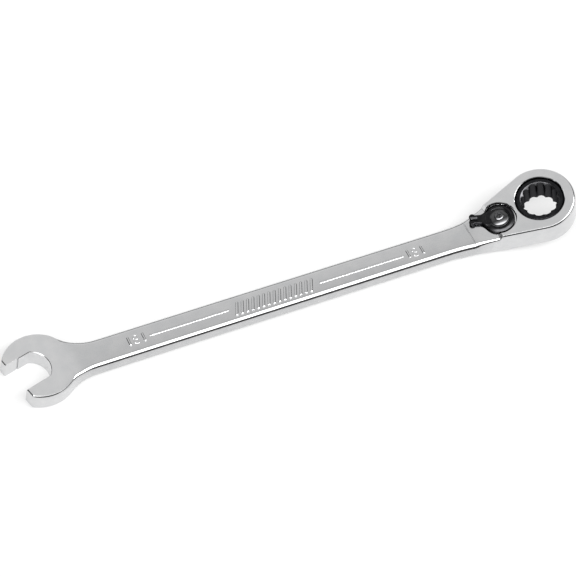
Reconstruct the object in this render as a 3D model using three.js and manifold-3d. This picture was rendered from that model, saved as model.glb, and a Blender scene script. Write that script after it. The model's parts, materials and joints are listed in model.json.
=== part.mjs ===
// Reversible ratchet combination wrench, 8 mm across flats.
// Millimetres, +Z up. The wrench lies on its underside with the reversing lever on top:
// +X runs from the open end to the ring end, and the ring head is cranked up.
import * as THREE from 'three';
import { mergeVertices } from 'three/addons/utils/BufferGeometryUtils.js';
import Module from 'manifold-3d';

// ---- driving dimensions ----
const ACROSS_FLATS = 8;                       // nut size at both ends
const SLACK = 0.05;                           // how much wider than the nut the openings are

const HANDLE_WIDTH = 7.84;
const HANDLE_THICKNESS = 4.2;
const HANDLE_EDGE = 1.4;                      // radius along the handle's long edges
const HANDLE_FROM = 9;                        // the handle's bar starts inside the open head

const JAW_TILT = THREE.MathUtils.degToRad(15);
const JAW_THICKNESS = 4.75;
const JAW_HEAD_RADIUS = 9.05;
const JAW_HEAD_CENTRE = [5.57, 1.24];
const JAW_EDGE = 0.6;
const JAW_TIP = -0.9;                         // where the jaws end, along their own middle line
const THROAT_RADIUS = 4.78;
const THROAT_CENTRE = 3.47;                   // along the jaws' middle line
const JAW_CHAMFER = 0.3;
const GRIP_STEP = 0.2;                        // step in the far jaw's flat, near its tip
const GRIP_STEP_END = 2.5;
const SHOULDER_RADII = { far: 12, near: 14 };

const CRANK = THREE.MathUtils.degToRad(15);
const CRANK_X = 120.9;                        // where the handle bends up
const HEAD_ARM = 18.75;                       // from the bend to the middle of the ring

const RING_RADIUS = 8.85;
const HEAD_HALF = 3.4;                        // half the ring head's thickness
const HEAD_EDGE = 0.8;
const CHEEK_ANGLE = THREE.MathUtils.degToRad(16);
const CHEEK_END = -12.2;                      // where the straight cheeks turn into the neck
const NECK_START = -26;
const STEP_X = -13.2;                         // where the raised face drops to the lever platform
const PLATFORM_Z = 2.4;

const TEETH = 72;
const TOOTH_TIP = 6.7;
const TOOTH_ROOT = 6.3;
const TOOTH_HALF = 2.1;                       // half the height of the toothed band
const GEAR_HALF = 3.15;
const GEAR_RIM = 5.95;
const GEAR_EDGE = 0.25;
const LEAD_IN_RADIUS = 5.05;
const LEAD_IN_DEPTH = 0.85;
const CAVITY_RADIUS = 6.9;
const LIP_Z = 2.3;                            // underside of the lip that holds the gear down
const LIP_RADIUS = 6.15;

const CLIP = { inner: 6.2, outer: 7.2, low: -2.85, high: -2.35, gap: THREE.MathUtils.degToRad(34) };
const CLIP_GROOVE = { radius: 7.4, low: -3.0, high: -2.2 };

const PIVOT_X = -11.3;                        // lever pivot, measured from the ring's middle
const LEVER_SWING = THREE.MathUtils.degToRad(25);
const LEVER_RECESS = 4.35;
const LEVER_RADIUS = 3.95;
const LEVER_LOW = 2.55;
const LEVER_RIM = 3.1;
const LEVER_TOP = 3.5;
const LEVER_REACH = 7.35;                     // tip of the thumb tab
const TAB_HALF = 1.45;
const BOSS = { radius: 1.8, flat: 1.4, low: 1.0 };
const BOSS_HOLE = 2.0;

const PAWL = {
  faceTip: 6.95, faceRoot: 7.25, back: 8.85, notch: 8.2, half: 1.5,
  span: THREE.MathUtils.degToRad(22), shift: THREE.MathUtils.degToRad(6),
};
const POCKET = { radius: 9.1, half: 1.75, span: THREE.MathUtils.degToRad(33) };

const HUB = { radius: 2.2, half: 1.55, seat: 2.45 };
const SPRING_Z = -0.65;
const SPRING_HOLE = 0.68;
const SPRING_HOLE_END = -1.4;                 // blind end of the spring's hole, from the pivot
const BALL = { radius: 0.55, reach: 1.95 };

const SCREW = { shank: 0.65, low: 0.35, headRadius: 1.15, headLow: 4.1, headTop: 4.5 };
const WASHER = { inner: 0.85, outer: 2.3, low: 3.6, thick: 0.15, dish: 0.22 };

// ---- materials ----
function metal(color, roughness, metalness = 1) {
  return new THREE.MeshStandardMaterial({ color, roughness, metalness });
}
const chrome = () => metal(0xcfd1d4, 0.24);
const blackOxide = () => metal(0x17181a, 0.4, 0.85);
const blackGloss = () => metal(0x0d0d0f, 0.2, 0.6);
const springSteel = () => metal(0x9a9da1, 0.32);

// ---- solids ----
const wasm = await Module();
wasm.setup();

function solid(geometry) {
  const bare = geometry.clone();
  bare.deleteAttribute('normal');
  bare.deleteAttribute('uv');
  const merged = mergeVertices(bare, 1e-5);
  return new wasm.Manifold(new wasm.Mesh({
    numProp: 3,
    vertProperties: new Float32Array(merged.attributes.position.array),
    triVerts: new Uint32Array(merged.index.array),
  }));
}

function join(...geometries) {
  return geometries.map(solid).reduce((all, next) => all.add(next));
}

function cut(body, ...geometries) {
  return geometries.map(solid).reduce((left, next) => left.subtract(next), body);
}

function geometryOf(manifold) {
  const mesh = manifold.getMesh();
  const geometry = new THREE.BufferGeometry();
  geometry.setAttribute('position', new THREE.BufferAttribute(mesh.vertProperties, 3));
  geometry.setIndex(new THREE.BufferAttribute(mesh.triVerts, 1));
  geometry.computeVertexNormals();
  return geometry;
}

// Plate from an outline, between two heights, with its edges rounded inside the outline.
function plate(shape, low, high, edge = 0, bevelSegments = 3) {
  const geometry = new THREE.ExtrudeGeometry(shape, {
    depth: high - low - 2 * edge,
    bevelEnabled: edge > 0,
    bevelThickness: edge,
    bevelSize: edge,
    bevelOffset: -edge,
    bevelSegments,
  });
  return geometry.translate(0, 0, low + edge);
}

// Cutter that opens an outline outwards towards a top or bottom face, to chamfer the edge there.
function chamferCutter(shape, faceZ, size) {
  const depth = 1;
  const geometry = new THREE.ExtrudeGeometry(shape, {
    depth,
    bevelEnabled: true,
    bevelThickness: size,
    bevelSize: size,
    bevelSegments: 1,
  });
  return geometry.translate(0, 0, faceZ > 0 ? faceZ : faceZ - depth);
}

// Round post about Z from a list of [radius, height] corners that starts and ends on the axis,
// or a ring when the corners close on themselves.
function turned(corners, segments = 32) {
  const profile = corners.map(([radius, z]) => new THREE.Vector2(radius, z));
  return new THREE.LatheGeometry(profile, segments).rotateX(Math.PI / 2);
}

function post(radius, low, high, segments = 32) {
  return turned([[0, low], [radius, low], [radius, high], [0, high]], segments);
}

function band(inner, outer, low, high, segments = 40) {
  return turned([[inner, low], [outer, low], [outer, high], [inner, high], [inner, low]], segments);
}

function block(x0, x1, y0, y1, z0, z1) {
  const geometry = new THREE.BoxGeometry(x1 - x0, y1 - y0, z1 - z0);
  return geometry.translate((x0 + x1) / 2, (y0 + y1) / 2, (z0 + z1) / 2);
}

function polygon(points) {
  return new THREE.Shape(points.map(([x, y]) => new THREE.Vector2(x, y)));
}

function polar(radius, angle) {
  return [radius * Math.cos(angle), radius * Math.sin(angle)];
}

function arc(radius, from, to, steps, [cx, cy] = [0, 0]) {
  const turn = (to - from) / steps;
  return Array.from({ length: steps + 1 }, (_, i) => {
    const [x, y] = polar(radius, from + turn * i);
    return [cx + x, cy + y];
  });
}

// ---- frames ----
// Ring head frame: middle of the ring, Z along the ring's axis, X away from the handle.
const ringMiddle = new THREE.Vector3(
  CRANK_X + HEAD_ARM * Math.cos(CRANK), 0, HEAD_ARM * Math.sin(CRANK));
const headFrame = new THREE.Matrix4().compose(
  ringMiddle,
  new THREE.Quaternion().setFromAxisAngle(new THREE.Vector3(0, 1, 0), -CRANK),
  new THREE.Vector3(1, 1, 1));

// ---- open end ----
function fromJaw(along, across) {
  return [
    along * Math.cos(JAW_TILT) - across * Math.sin(JAW_TILT),
    along * Math.sin(JAW_TILT) + across * Math.cos(JAW_TILT),
  ];
}

// Middle of the fillet that leads from the round head to one long edge of the handle.
function shoulderMiddle(side, radius) {
  const [cx, cy] = JAW_HEAD_CENTRE;
  const y = side * (HANDLE_WIDTH / 2 + radius);
  const x = cx + Math.sqrt((JAW_HEAD_RADIUS + radius) ** 2 - (y - cy) ** 2);
  return [x, y];
}

function openHeadOutline() {
  const [cx, cy] = JAW_HEAD_CENTRE;
  const far = shoulderMiddle(1, SHOULDER_RADII.far);
  const near = shoulderMiddle(-1, SHOULDER_RADII.near);
  const farTouch = Math.atan2(far[1] - cy, far[0] - cx);
  const nearTouch = Math.atan2(near[1] - cy, near[0] - cx);
  return polygon([
    ...arc(SHOULDER_RADII.far, -Math.PI / 2, farTouch - Math.PI, 8, far),
    ...arc(JAW_HEAD_RADIUS, farTouch, nearTouch + 2 * Math.PI, 44, JAW_HEAD_CENTRE).slice(1, -1),
    ...arc(SHOULDER_RADII.near, nearTouch + Math.PI, Math.PI / 2, 8, near),
  ]);
}

// Space between the jaws: parallel flats, a round throat and a step in the far flat.
function jawGapOutline() {
  const half = ACROSS_FLATS / 2 + SLACK;
  const meet = Math.acos(-half / THROAT_RADIUS) - Math.PI / 2;
  const mouth = JAW_TIP - 6;
  const points = [
    fromJaw(mouth, half + GRIP_STEP),
    fromJaw(mouth, -half),
    ...arc(THROAT_RADIUS, -meet, meet, 18).map(([u, v]) => fromJaw(THROAT_CENTRE + u, v)),
    fromJaw(GRIP_STEP_END + GRIP_STEP, half),
    fromJaw(GRIP_STEP_END, half + GRIP_STEP),
  ];
  return polygon(points);
}

// Everything beyond the jaw tips.
function tipCutter() {
  const wide = 2 * JAW_HEAD_RADIUS;
  const cutter = block(JAW_TIP - wide, JAW_TIP, -wide, wide, -JAW_THICKNESS, JAW_THICKNESS);
  return cutter.rotateZ(JAW_TILT);
}

// ---- ring head ----
const cheekTouch = [-RING_RADIUS * Math.sin(CHEEK_ANGLE), RING_RADIUS * Math.cos(CHEEK_ANGLE)];
const cheekEnd = [CHEEK_END, cheekTouch[1] - (cheekTouch[0] - CHEEK_END) * Math.tan(CHEEK_ANGLE)];
const neck = new THREE.CubicBezierCurve(
  new THREE.Vector2(...cheekEnd),
  new THREE.Vector2(cheekEnd[0] - 4.8, cheekEnd[1] - 4.8 * Math.tan(CHEEK_ANGLE)),
  new THREE.Vector2(NECK_START + 4.6, HANDLE_WIDTH / 2),
  new THREE.Vector2(NECK_START, HANDLE_WIDTH / 2));

const neckPoints = neck.getPoints(9).map(({ x, y }) => [x, y]);

function neckBetween(lowX, highX) {
  return neckPoints.filter(([x]) => x > lowX && x < highX);
}

// Half-width of the neck where it has the given x.
function neckWidthAt(wanted) {
  const next = neckPoints.findIndex(([x]) => x <= wanted);
  const [x0, y0] = neckPoints[next - 1];
  const [x1, y1] = neckPoints[next];
  return y0 + (y1 - y0) * (wanted - x0) / (x1 - x0);
}

function mirrored(upper) {
  return [...upper, ...upper.map(([x, y]) => [x, -y]).reverse()];
}

function ringOutline() {
  const touch = Math.PI / 2 + CHEEK_ANGLE;
  const first = Math.PI / 48;
  const side = [
    ...arc(RING_RADIUS, first, touch, 22),
    ...neckBetween(STEP_X, CHEEK_END + 1e-6),
    [STEP_X, neckWidthAt(STEP_X)],
  ];
  return polygon(mirrored(side));
}

function neckOutline(startX, endX) {
  const side = [
    [endX, cheekEnd[1] + (endX - cheekEnd[0]) * Math.tan(CHEEK_ANGLE)],
    ...neckBetween(startX, CHEEK_END + 1e-6),
    [startX, neckWidthAt(startX)],
  ];
  return polygon(mirrored(side));
}

// Handle with straight long edges that flare into the neck, a hair inside the neck's own sides.
function handleOutline() {
  const inside = 0.02;
  const pastBend = 1.6;
  const flare = neckBetween(NECK_START - 1, pastBend - HEAD_ARM)
    .map(([x, y]) => [x + HEAD_ARM + CRANK_X, y - inside]);
  return polygon(mirrored([...flare, [HANDLE_FROM, HANDLE_WIDTH / 2]]));
}

// Round-ended slot in the ring of angles about the handle side of the ring.
function pocketOutline(inner, outer, span, steps = 14) {
  return polygon([
    ...arc(outer, Math.PI - span, Math.PI + span, steps),
    ...arc(inner, Math.PI + span, Math.PI - span, steps),
  ]);
}

function ringCutters() {
  const over = HEAD_HALF + 1;
  const cutters = [
    post(CAVITY_RADIUS, -over, LIP_Z, 72),
    post(LIP_RADIUS, 0, over, 48),
    band(CAVITY_RADIUS - 1, CLIP_GROOVE.radius, CLIP_GROOVE.low, CLIP_GROOVE.high, 48),
    plate(pocketOutline(CAVITY_RADIUS - 0.6, POCKET.radius, POCKET.span), -POCKET.half, POCKET.half),
    post(HUB.seat, -POCKET.half, POCKET.half).translate(PIVOT_X, 0, 0),
    post(BOSS_HOLE, 0, over).translate(PIVOT_X, 0, 0),
    post(LEVER_RECESS, PLATFORM_Z, over, 40).translate(PIVOT_X, 0, 0),
  ];
  return cutters.map((cutter) => cutter.applyMatrix4(headFrame));
}

function wrenchBody() {
  const half = HANDLE_THICKNESS / 2;
  const jawHalf = JAW_THICKNESS / 2;
  const gap = jawGapOutline();
  const openEnd = cut(
    solid(plate(openHeadOutline(), -jawHalf, jawHalf, JAW_EDGE)),
    plate(gap, -jawHalf - 1, jawHalf + 1),
    chamferCutter(gap, jawHalf, JAW_CHAMFER),
    chamferCutter(gap, -jawHalf, JAW_CHAMFER),
    tipCutter());
  const handle = solid(plate(handleOutline(), -half, half, HANDLE_EDGE));
  const neckBlock = plate(neckOutline(-21, -10), -HEAD_HALF, PLATFORM_Z, HEAD_EDGE)
    .applyMatrix4(headFrame);
  const ringBlock = plate(ringOutline(), -HEAD_HALF, HEAD_HALF, HEAD_EDGE).applyMatrix4(headFrame);
  const belowHandle = block(CRANK_X - 20, CRANK_X + 30, -10, 10, -half - 8, -half);
  const head = cut(join(neckBlock, ringBlock), belowHandle);
  return cut(openEnd.add(handle).add(head), ...ringCutters());
}

// ---- ratchet gear ----
function gearTeeth() {
  const pitch = 2 * Math.PI / TEETH;
  const points = [];
  for (let i = 0; i < TEETH; i += 1) {
    const angle = i * pitch;
    points.push(polar(TOOTH_ROOT, angle));
    points.push(polar(TOOTH_TIP, angle + 0.4 * pitch));
    points.push(polar(TOOTH_TIP, angle + 0.6 * pitch));
  }
  return polygon(points);
}

// Twelve points: six-sided openings at two angles, half a turn of a corner apart.
function twelvePoint() {
  const flat = ACROSS_FLATS / 2 + SLACK;
  const corner = flat / Math.cos(Math.PI / 6);
  const dent = flat / Math.cos(Math.PI / 12);
  const points = [];
  for (let i = 0; i < 12; i += 1) {
    const angle = i * Math.PI / 6;
    points.push(polar(dent, angle));
    points.push(polar(corner, angle + Math.PI / 12));
  }
  return polygon(points);
}

function ratchetGear() {
  const rim = turned([
    [0, -GEAR_HALF],
    [GEAR_RIM - GEAR_EDGE, -GEAR_HALF],
    [GEAR_RIM, -GEAR_HALF + GEAR_EDGE],
    [GEAR_RIM, GEAR_HALF - GEAR_EDGE],
    [GEAR_RIM - GEAR_EDGE, GEAR_HALF],
    [0, GEAR_HALF],
  ], 72);
  const funnelEnd = GEAR_HALF - LEAD_IN_DEPTH;
  const slope = (LEAD_IN_RADIUS - ACROSS_FLATS / 2) / LEAD_IN_DEPTH;
  const funnel = [
    [0, funnelEnd - 0.2],
    [ACROSS_FLATS / 2 - 0.2 * slope, funnelEnd - 0.2],
    [LEAD_IN_RADIUS + slope, GEAR_HALF + 1],
    [0, GEAR_HALF + 1],
  ];
  return cut(
    join(plate(gearTeeth(), -TOOTH_HALF, TOOTH_HALF), rim),
    plate(twelvePoint(), -GEAR_HALF - 1, GEAR_HALF + 1),
    turned(funnel, 48),
    turned(funnel, 48).rotateX(Math.PI));
}

// Spring ring with open ends that snaps into the groove under the gear.
function retainingRing() {
  const { inner, outer, low, high, gap } = CLIP;
  const start = gap / 2;
  const end = 2 * Math.PI - gap / 2;
  const shape = polygon([...arc(outer, start, end, 44), ...arc(inner, end, start, 44)]);
  return solid(plate(shape, low, high));
}

// ---- pawl ----
function pawlBody() {
  const { faceTip, faceRoot, back, notch, half, span, shift } = PAWL;
  const pitch = 2 * Math.PI / TEETH;
  const teeth = 8;
  const face = [];
  for (let i = 0; i < teeth; i += 1) {
    const angle = Math.PI + (i - (teeth - 1) / 2) * pitch;
    face.push(polar(faceRoot, angle - 0.4 * pitch));
    face.push(polar(faceTip, angle));
    face.push(polar(faceRoot, angle + 0.4 * pitch));
  }
  const notchHalf = THREE.MathUtils.degToRad(10);
  const shape = polygon([
    ...face,
    polar(faceRoot + 0.1, Math.PI + span),
    ...arc(back, Math.PI + span, Math.PI + notchHalf, 5),
    polar(notch, Math.PI),
    ...arc(back, Math.PI - notchHalf, Math.PI - span, 5),
    polar(faceRoot + 0.1, Math.PI - span),
  ]);
  return solid(plate(shape, -half, half).rotateZ(shift));
}

// ---- lever group: built about the pivot, thumb tab towards -X, then swung to its stop ----
function tabOutline() {
  const root = -LEVER_RADIUS + 0.75;
  const lobe = TAB_HALF / 2;
  const tip = -LEVER_REACH + lobe;
  return polygon([
    [root, TAB_HALF + 1.25],
    [root - 0.7, TAB_HALF + 0.35],
    [root - 1.5, TAB_HALF],
    ...arc(lobe, Math.PI / 2, Math.PI * 1.4, 6, [tip, lobe]),
    ...arc(lobe, Math.PI * 0.6, Math.PI * 1.5, 6, [tip, -lobe]),
    [root - 1.5, -TAB_HALF],
    [root - 0.7, -TAB_HALF - 0.35],
    [root, -TAB_HALF - 1.25],
  ]);
}

function squareWithRounds(radius, flat, low, high) {
  const round = solid(post(radius, low, high, 24));
  return round.intersect(solid(block(-flat, flat, -radius - 1, radius + 1, low - 1, high + 1)));
}

function leverBody() {
  const disc = turned([
    [0, LEVER_LOW],
    [LEVER_RADIUS, LEVER_LOW],
    [LEVER_RADIUS, LEVER_RIM],
    [LEVER_RADIUS - 0.9, LEVER_TOP],
    [0, LEVER_TOP],
  ], 40);
  const tab = plate(tabOutline(), LEVER_LOW, LEVER_TOP, 0.3, 2);
  const boss = squareWithRounds(BOSS.radius, BOSS.flat, BOSS.low, LEVER_LOW + 0.2);
  return cut(join(disc, tab).add(boss), post(SCREW.shank + 0.15, 0, 6, 20));
}

function selectorHub() {
  const { radius, half } = HUB;
  const socket = squareWithRounds(BOSS.radius + 0.15, BOSS.flat + 0.15, BOSS.low - 0.15, half + 1);
  const springHole = post(SPRING_HOLE, SPRING_HOLE_END, radius + 1, 20)
    .rotateY(Math.PI / 2)
    .translate(0, 0, SPRING_Z);
  const hub = cut(solid(post(radius, -half, half, 32)), springHole);
  return hub.subtract(socket).subtract(solid(post(SCREW.shank + 0.1, SCREW.low - 0.2, half, 20)));
}

// Pan-head screw with a cross recess.
function leverScrew() {
  const { shank, low, headRadius, headLow, headTop } = SCREW;
  const body = turned([
    [0, low],
    [shank, low],
    [shank, headLow],
    [headRadius, headLow],
    [headRadius, headTop - 0.3],
    [headRadius - 0.35, headTop],
    [0, headTop],
  ], 28);
  const slot = 0.14;
  const reach = 0.75;
  const floor = headTop - 0.35;
  return cut(
    solid(body),
    block(-reach, reach, -slot, slot, floor, headTop + 1),
    block(-slot, slot, -reach, reach, floor, headTop + 1));
}

// Dished spring washer: its inner edge stands higher than its rim.
function leverWasher() {
  const { inner, outer, low, thick, dish } = WASHER;
  return solid(turned([
    [inner, low + dish],
    [outer, low],
    [outer, low + thick],
    [inner, low + thick + dish],
    [inner, low + dish],
  ], 36));
}

function detentBall() {
  const { radius, reach } = BALL;
  const ball = new THREE.SphereGeometry(radius, 16, 12);
  return solid(ball.rotateX(Math.PI / 2).translate(reach, 0, SPRING_Z));
}

// Coil spring between the blind end of its hole and the ball, coiled about X.
class CoilCurve extends THREE.Curve {
  constructor(radius, start, end, turns) {
    super();
    Object.assign(this, { radius, start, end, turns });
  }

  getPoint(t, target = new THREE.Vector3()) {
    const angle = 2 * Math.PI * this.turns * t;
    const x = this.start + (this.end - this.start) * t;
    return target.set(x, this.radius * Math.cos(angle), SPRING_Z + this.radius * Math.sin(angle));
  }
}

function detentSpring() {
  const wire = 0.09;
  const start = SPRING_HOLE_END + wire + 0.1;
  const end = BALL.reach - BALL.radius - wire - 0.06;
  const section = polygon(arc(wire, 0, 2 * Math.PI * 5 / 6, 5));
  return solid(new THREE.ExtrudeGeometry(section, {
    steps: 84,
    extrudePath: new CoilCurve(0.42, start, end, 5),
  }));
}

// ---- assembly ----
function piece(name, manifold, material) {
  const mesh = new THREE.Mesh(geometryOf(manifold), material);
  mesh.name = name;
  return mesh;
}

const wrench = new THREE.Group();
wrench.add(piece('wrench_body', wrenchBody(), chrome()));

const head = new THREE.Group();
head.position.copy(ringMiddle);
head.rotation.y = -CRANK;
head.add(
  piece('ratchet_gear', ratchetGear(), blackOxide()),
  piece('gear_retaining_ring', retainingRing(), springSteel()),
  piece('pawl', pawlBody(), blackOxide()));

const lever = new THREE.Group();
lever.position.set(PIVOT_X, 0, 0);
lever.rotation.z = -LEVER_SWING;
lever.add(
  piece('reversing_lever', leverBody(), blackGloss()),
  piece('selector_hub', selectorHub(), blackOxide()),
  piece('lever_screw', leverScrew(), blackGloss()),
  piece('lever_washer', leverWasher(), springSteel()),
  piece('detent_ball', detentBall(), chrome()),
  piece('detent_spring', detentSpring(), springSteel()));
head.add(lever);
wrench.add(head);

// The origin is under the middle of the wrench, on the surface that it lies on.
const extent = new THREE.Box3().setFromObject(wrench, true);
const middle = extent.getCenter(new THREE.Vector3());
wrench.position.set(-middle.x, -middle.y, -extent.min.z);

export default wrench;
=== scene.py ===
import json
import math

import bmesh
import bpy
import numpy as np
from mathutils import Matrix, Vector


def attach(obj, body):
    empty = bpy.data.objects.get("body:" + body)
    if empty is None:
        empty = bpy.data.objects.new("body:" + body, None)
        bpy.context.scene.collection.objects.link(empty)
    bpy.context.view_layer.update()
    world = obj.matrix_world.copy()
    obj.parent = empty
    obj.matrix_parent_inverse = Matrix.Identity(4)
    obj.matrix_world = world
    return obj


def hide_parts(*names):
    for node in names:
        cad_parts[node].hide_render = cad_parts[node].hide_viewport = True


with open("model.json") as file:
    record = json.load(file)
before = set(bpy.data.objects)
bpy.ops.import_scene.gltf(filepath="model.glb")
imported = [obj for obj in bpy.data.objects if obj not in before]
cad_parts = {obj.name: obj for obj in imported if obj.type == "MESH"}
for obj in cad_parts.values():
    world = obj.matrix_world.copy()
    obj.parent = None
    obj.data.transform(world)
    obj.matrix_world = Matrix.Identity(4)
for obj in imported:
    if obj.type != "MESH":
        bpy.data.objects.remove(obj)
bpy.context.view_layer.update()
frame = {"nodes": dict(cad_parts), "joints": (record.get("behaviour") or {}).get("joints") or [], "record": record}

record = frame["record"]
MM = 0.001

# ---- where the CAD puts things ----
joints = {j["name"]: j for j in frame["joints"]}
mounts = {m["name"]: m for m in record["mounts"]}
ring_row = np.array(joints["gear_spin"]["pos_m"]) / MM
pivot_row = np.array(joints["lever_flip"]["pos_m"]) / MM
head_axis = np.array(joints["gear_spin"]["axis"])
top_z = mounts["handle_top"]["pos_m"][2] / MM
under_z = mounts["handle_underside"]["pos_m"][2] / MM
far_flat = np.array(mounts["far_jaw_flat"]["pos_m"]) / MM
near_flat = np.array(mounts["near_jaw_flat"]["pos_m"]) / MM

JAW_TILT = math.radians(15)
LEVER_TURN = math.radians(-25)
MOUNT_ALONG = 3.6                # how far along the jaws their mounts sit
jaw_dir = np.array([math.cos(JAW_TILT), math.sin(JAW_TILT), 0])
jaw_row = (far_flat + near_flat) / 2 - MOUNT_ALONG * jaw_dir
shaft_row = np.array([jaw_row[0], ring_row[1], (top_z + under_z) / 2])
HALF = (top_z - under_z) / 2
RING = ring_row - shaft_row
CRANK = math.atan2(-head_axis[0], head_axis[2])
COS, SIN = math.cos(CRANK), math.sin(CRANK)
PIVOT = -float(np.hypot(*(pivot_row - ring_row)[[0, 2]]))    # the lever's axis, along the head

SHAFT = Matrix.Translation(Vector(shaft_row))
HEAD = Matrix.Translation(Vector(ring_row)) @ Matrix.Rotation(-CRANK, 4, "Y")
IN_SHAFT = Matrix.Translation(Vector(RING)) @ Matrix.Rotation(-CRANK, 4, "Y")
LEVER = HEAD @ Matrix.Translation((PIVOT, 0, 0)) @ Matrix.Rotation(LEVER_TURN, 4, "Z")

# ---- sizes, mm ----
FLAT = 4.05                    # half the jaw gap
WIDTH = 3.92                   # half the handle's width
JAW_HALF = 2.375               # half the jaws' thickness
JAW_CENTRE = (5.57, 1.24)      # middle of the open head's round outline
JAW_RADIUS = 9.05
JAW_TIP = -0.9                 # where the jaw tips end, along the jaws
TIP_ROUND = 0.8
THROAT = 4.78                  # radius of the round end of the gap, and where its middle is
THROAT_AT = 3.47
SHOULDERS = (12.0, 14.0)       # far and near fillet between open head and handle
RING_RADIUS = 8.85
HEAD_HALF = 3.4                # half the ring head's thickness
PLATFORM = 2.4                 # the low face in front of the raised one, above the ring's middle
STEP = -13.2                   # where the raised face starts
CHEEK = math.radians(16)       # lean of the ring head's straight sides
CHEEK_END = -12.2              # where they turn into the neck
NECK_START = -26.0             # where the neck leaves the handle
NECK_SHIFT = 0.6               # the neck's curve on the level handle starts this much later
GROUND = 0.22                  # ground off each face of the heads
GRID = 0.17                    # cells of the sampled fields at both heads
COARSE = 1.0                   # and along the straight handle
OPEN_END = 22.0                # the open head's outline is followed up to here
RING_START = 112.5             # and the ring head's field is used from here on
SLANT = math.radians(66)       # lean of the short bars on the handle


# ---- mesh helpers ----
def make(name, verts, faces):
    mesh = bpy.data.meshes.new(name)
    mesh.from_pydata([tuple(map(float, v)) for v in verts], [], [tuple(map(int, f)) for f in faces])
    mesh.validate()
    obj = bpy.data.objects.new(name, mesh)
    bpy.context.scene.collection.objects.link(obj)
    return obj


def loft(name, rings):
    """Solid through rings of equally many points, each ring anticlockwise seen from the last one."""
    rings = [np.asarray(r, float) for r in rings]
    n = len(rings[0])
    faces = []
    for a in range(len(rings) - 1):
        for i in range(n):
            j = (i + 1) % n
            faces.append((a * n + i, a * n + j, (a + 1) * n + j, (a + 1) * n + i))
    faces.append(tuple(range(n - 1, -1, -1)))
    faces.append(tuple((len(rings) - 1) * n + i for i in range(n)))
    return make(name, np.vstack(rings), faces)


def extrude(name, outline, levels):
    """Prism over an outline function of an offset, through (offset, height) levels."""
    lines = [(outline(offset), z) for offset, z in levels]
    return loft(name, [np.c_[line, np.full(len(line), z)] for line, z in lines])


def lathe(name, profile, segments=160):
    """Round solid about z from (radius, z) corners; ends on the axis or closes on itself."""
    profile = [tuple(p) for p in profile]
    on_axis = profile[0][0] == 0
    body = profile[1:-1] if on_axis else profile
    turn = np.linspace(0, 2 * np.pi, segments, endpoint=False)
    verts = [(r * c, r * s, z) for r, z in body for c, s in zip(np.cos(turn), np.sin(turn))]
    m = len(body)
    faces = []
    for a in range(m - 1 if on_axis else m):
        b = (a + 1) % m
        for i in range(segments):
            j = (i + 1) % segments
            faces.append((a * segments + i, a * segments + j, b * segments + j, b * segments + i))
    if on_axis:
        faces.append(tuple(range(segments - 1, -1, -1)))
        faces.append(tuple((m - 1) * segments + i for i in range(segments)))
    return make(name, verts, faces)


def rounded(corners, radii, steps=5):
    """A profile whose corners carry arcs; radii has one value per corner, 0 for a sharp one."""
    out = []
    n = len(corners)
    for i, (p, r) in enumerate(zip(corners, radii)):
        p = np.array(p, float)
        if r == 0:
            out.append(tuple(p))
            continue
        a = np.array(corners[i - 1], float) - p
        b = np.array(corners[(i + 1) % n], float) - p
        a, b = a / np.linalg.norm(a), b / np.linalg.norm(b)
        half = math.acos(np.clip(a @ b, -1, 1)) / 2
        reach = r / math.tan(half)
        middle = p + (a + b) / np.linalg.norm(a + b) * r / math.sin(half)
        start, end = p + a * reach - middle, p + b * reach - middle
        sweep = math.pi - 2 * half
        side = np.sign(start[0] * end[1] - start[1] * end[0])
        for k in range(steps + 1):
            t = side * sweep * k / steps
            c, s = math.cos(t), math.sin(t)
            out.append((middle[0] + start[0] * c - start[1] * s, middle[1] + start[0] * s + start[1] * c))
    return out


def transform(obj, matrix):
    obj.data.transform(matrix)
    if matrix.determinant() < 0:
        obj.data.flip_normals()
    return obj


def outward(obj):
    """Faces all look outwards."""
    bm = bmesh.new()
    bm.from_mesh(obj.data)
    bmesh.ops.recalc_face_normals(bm, faces=bm.faces)
    bm.to_mesh(obj.data)
    bm.free()
    return obj


def combine(obj, tools, operation="DIFFERENCE"):
    """Boolean of obj with each tool in turn; the tools are used up."""
    for tool in tools:
        outward(tool)
        step = obj.modifiers.new("step", "BOOLEAN")
        step.operation = operation
        step.solver = "MANIFOLD"
        step.object = tool
    graph = bpy.context.evaluated_depsgraph_get()
    mesh = bpy.data.meshes.new_from_object(obj.evaluated_get(graph))
    obj.modifiers.clear()
    old = obj.data
    obj.data = mesh
    bpy.data.meshes.remove(old)
    for tool in tools:
        bpy.data.objects.remove(tool)
    return obj


def finish_mesh(obj, frame_matrix, sharp):
    """From millimetres in a local frame to metres in the row frame, smooth but for edges over sharp degrees."""
    transform(obj, Matrix.Scale(MM, 4) @ frame_matrix)
    mesh = obj.data
    mesh.polygons.foreach_set("use_smooth", np.ones(len(mesh.polygons), bool))
    mesh.set_sharp_from_angle(angle=math.radians(sharp))
    mesh.update()
    return obj


# ---- distance fields ----
def ease(low, high, x):
    t = np.clip((x - low) / (high - low), 0, 1)
    return t * t * (3 - 2 * t)


def rounded_plate(edge, face, r):
    a, b = edge + r, face + r
    return np.minimum(np.maximum(a, b), 0) + np.hypot(np.maximum(a, 0), np.maximum(b, 0)) - r


def soft_min(a, b, k):
    h = np.maximum(k - np.abs(a - b), 0) / k
    return np.minimum(a, b) - h * h * k / 4


def round_both(a, b, r):
    """Intersection with a rounded edge."""
    return np.minimum(-r, np.maximum(a, b)) + np.hypot(np.maximum(r + a, 0), np.maximum(r + b, 0))


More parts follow.
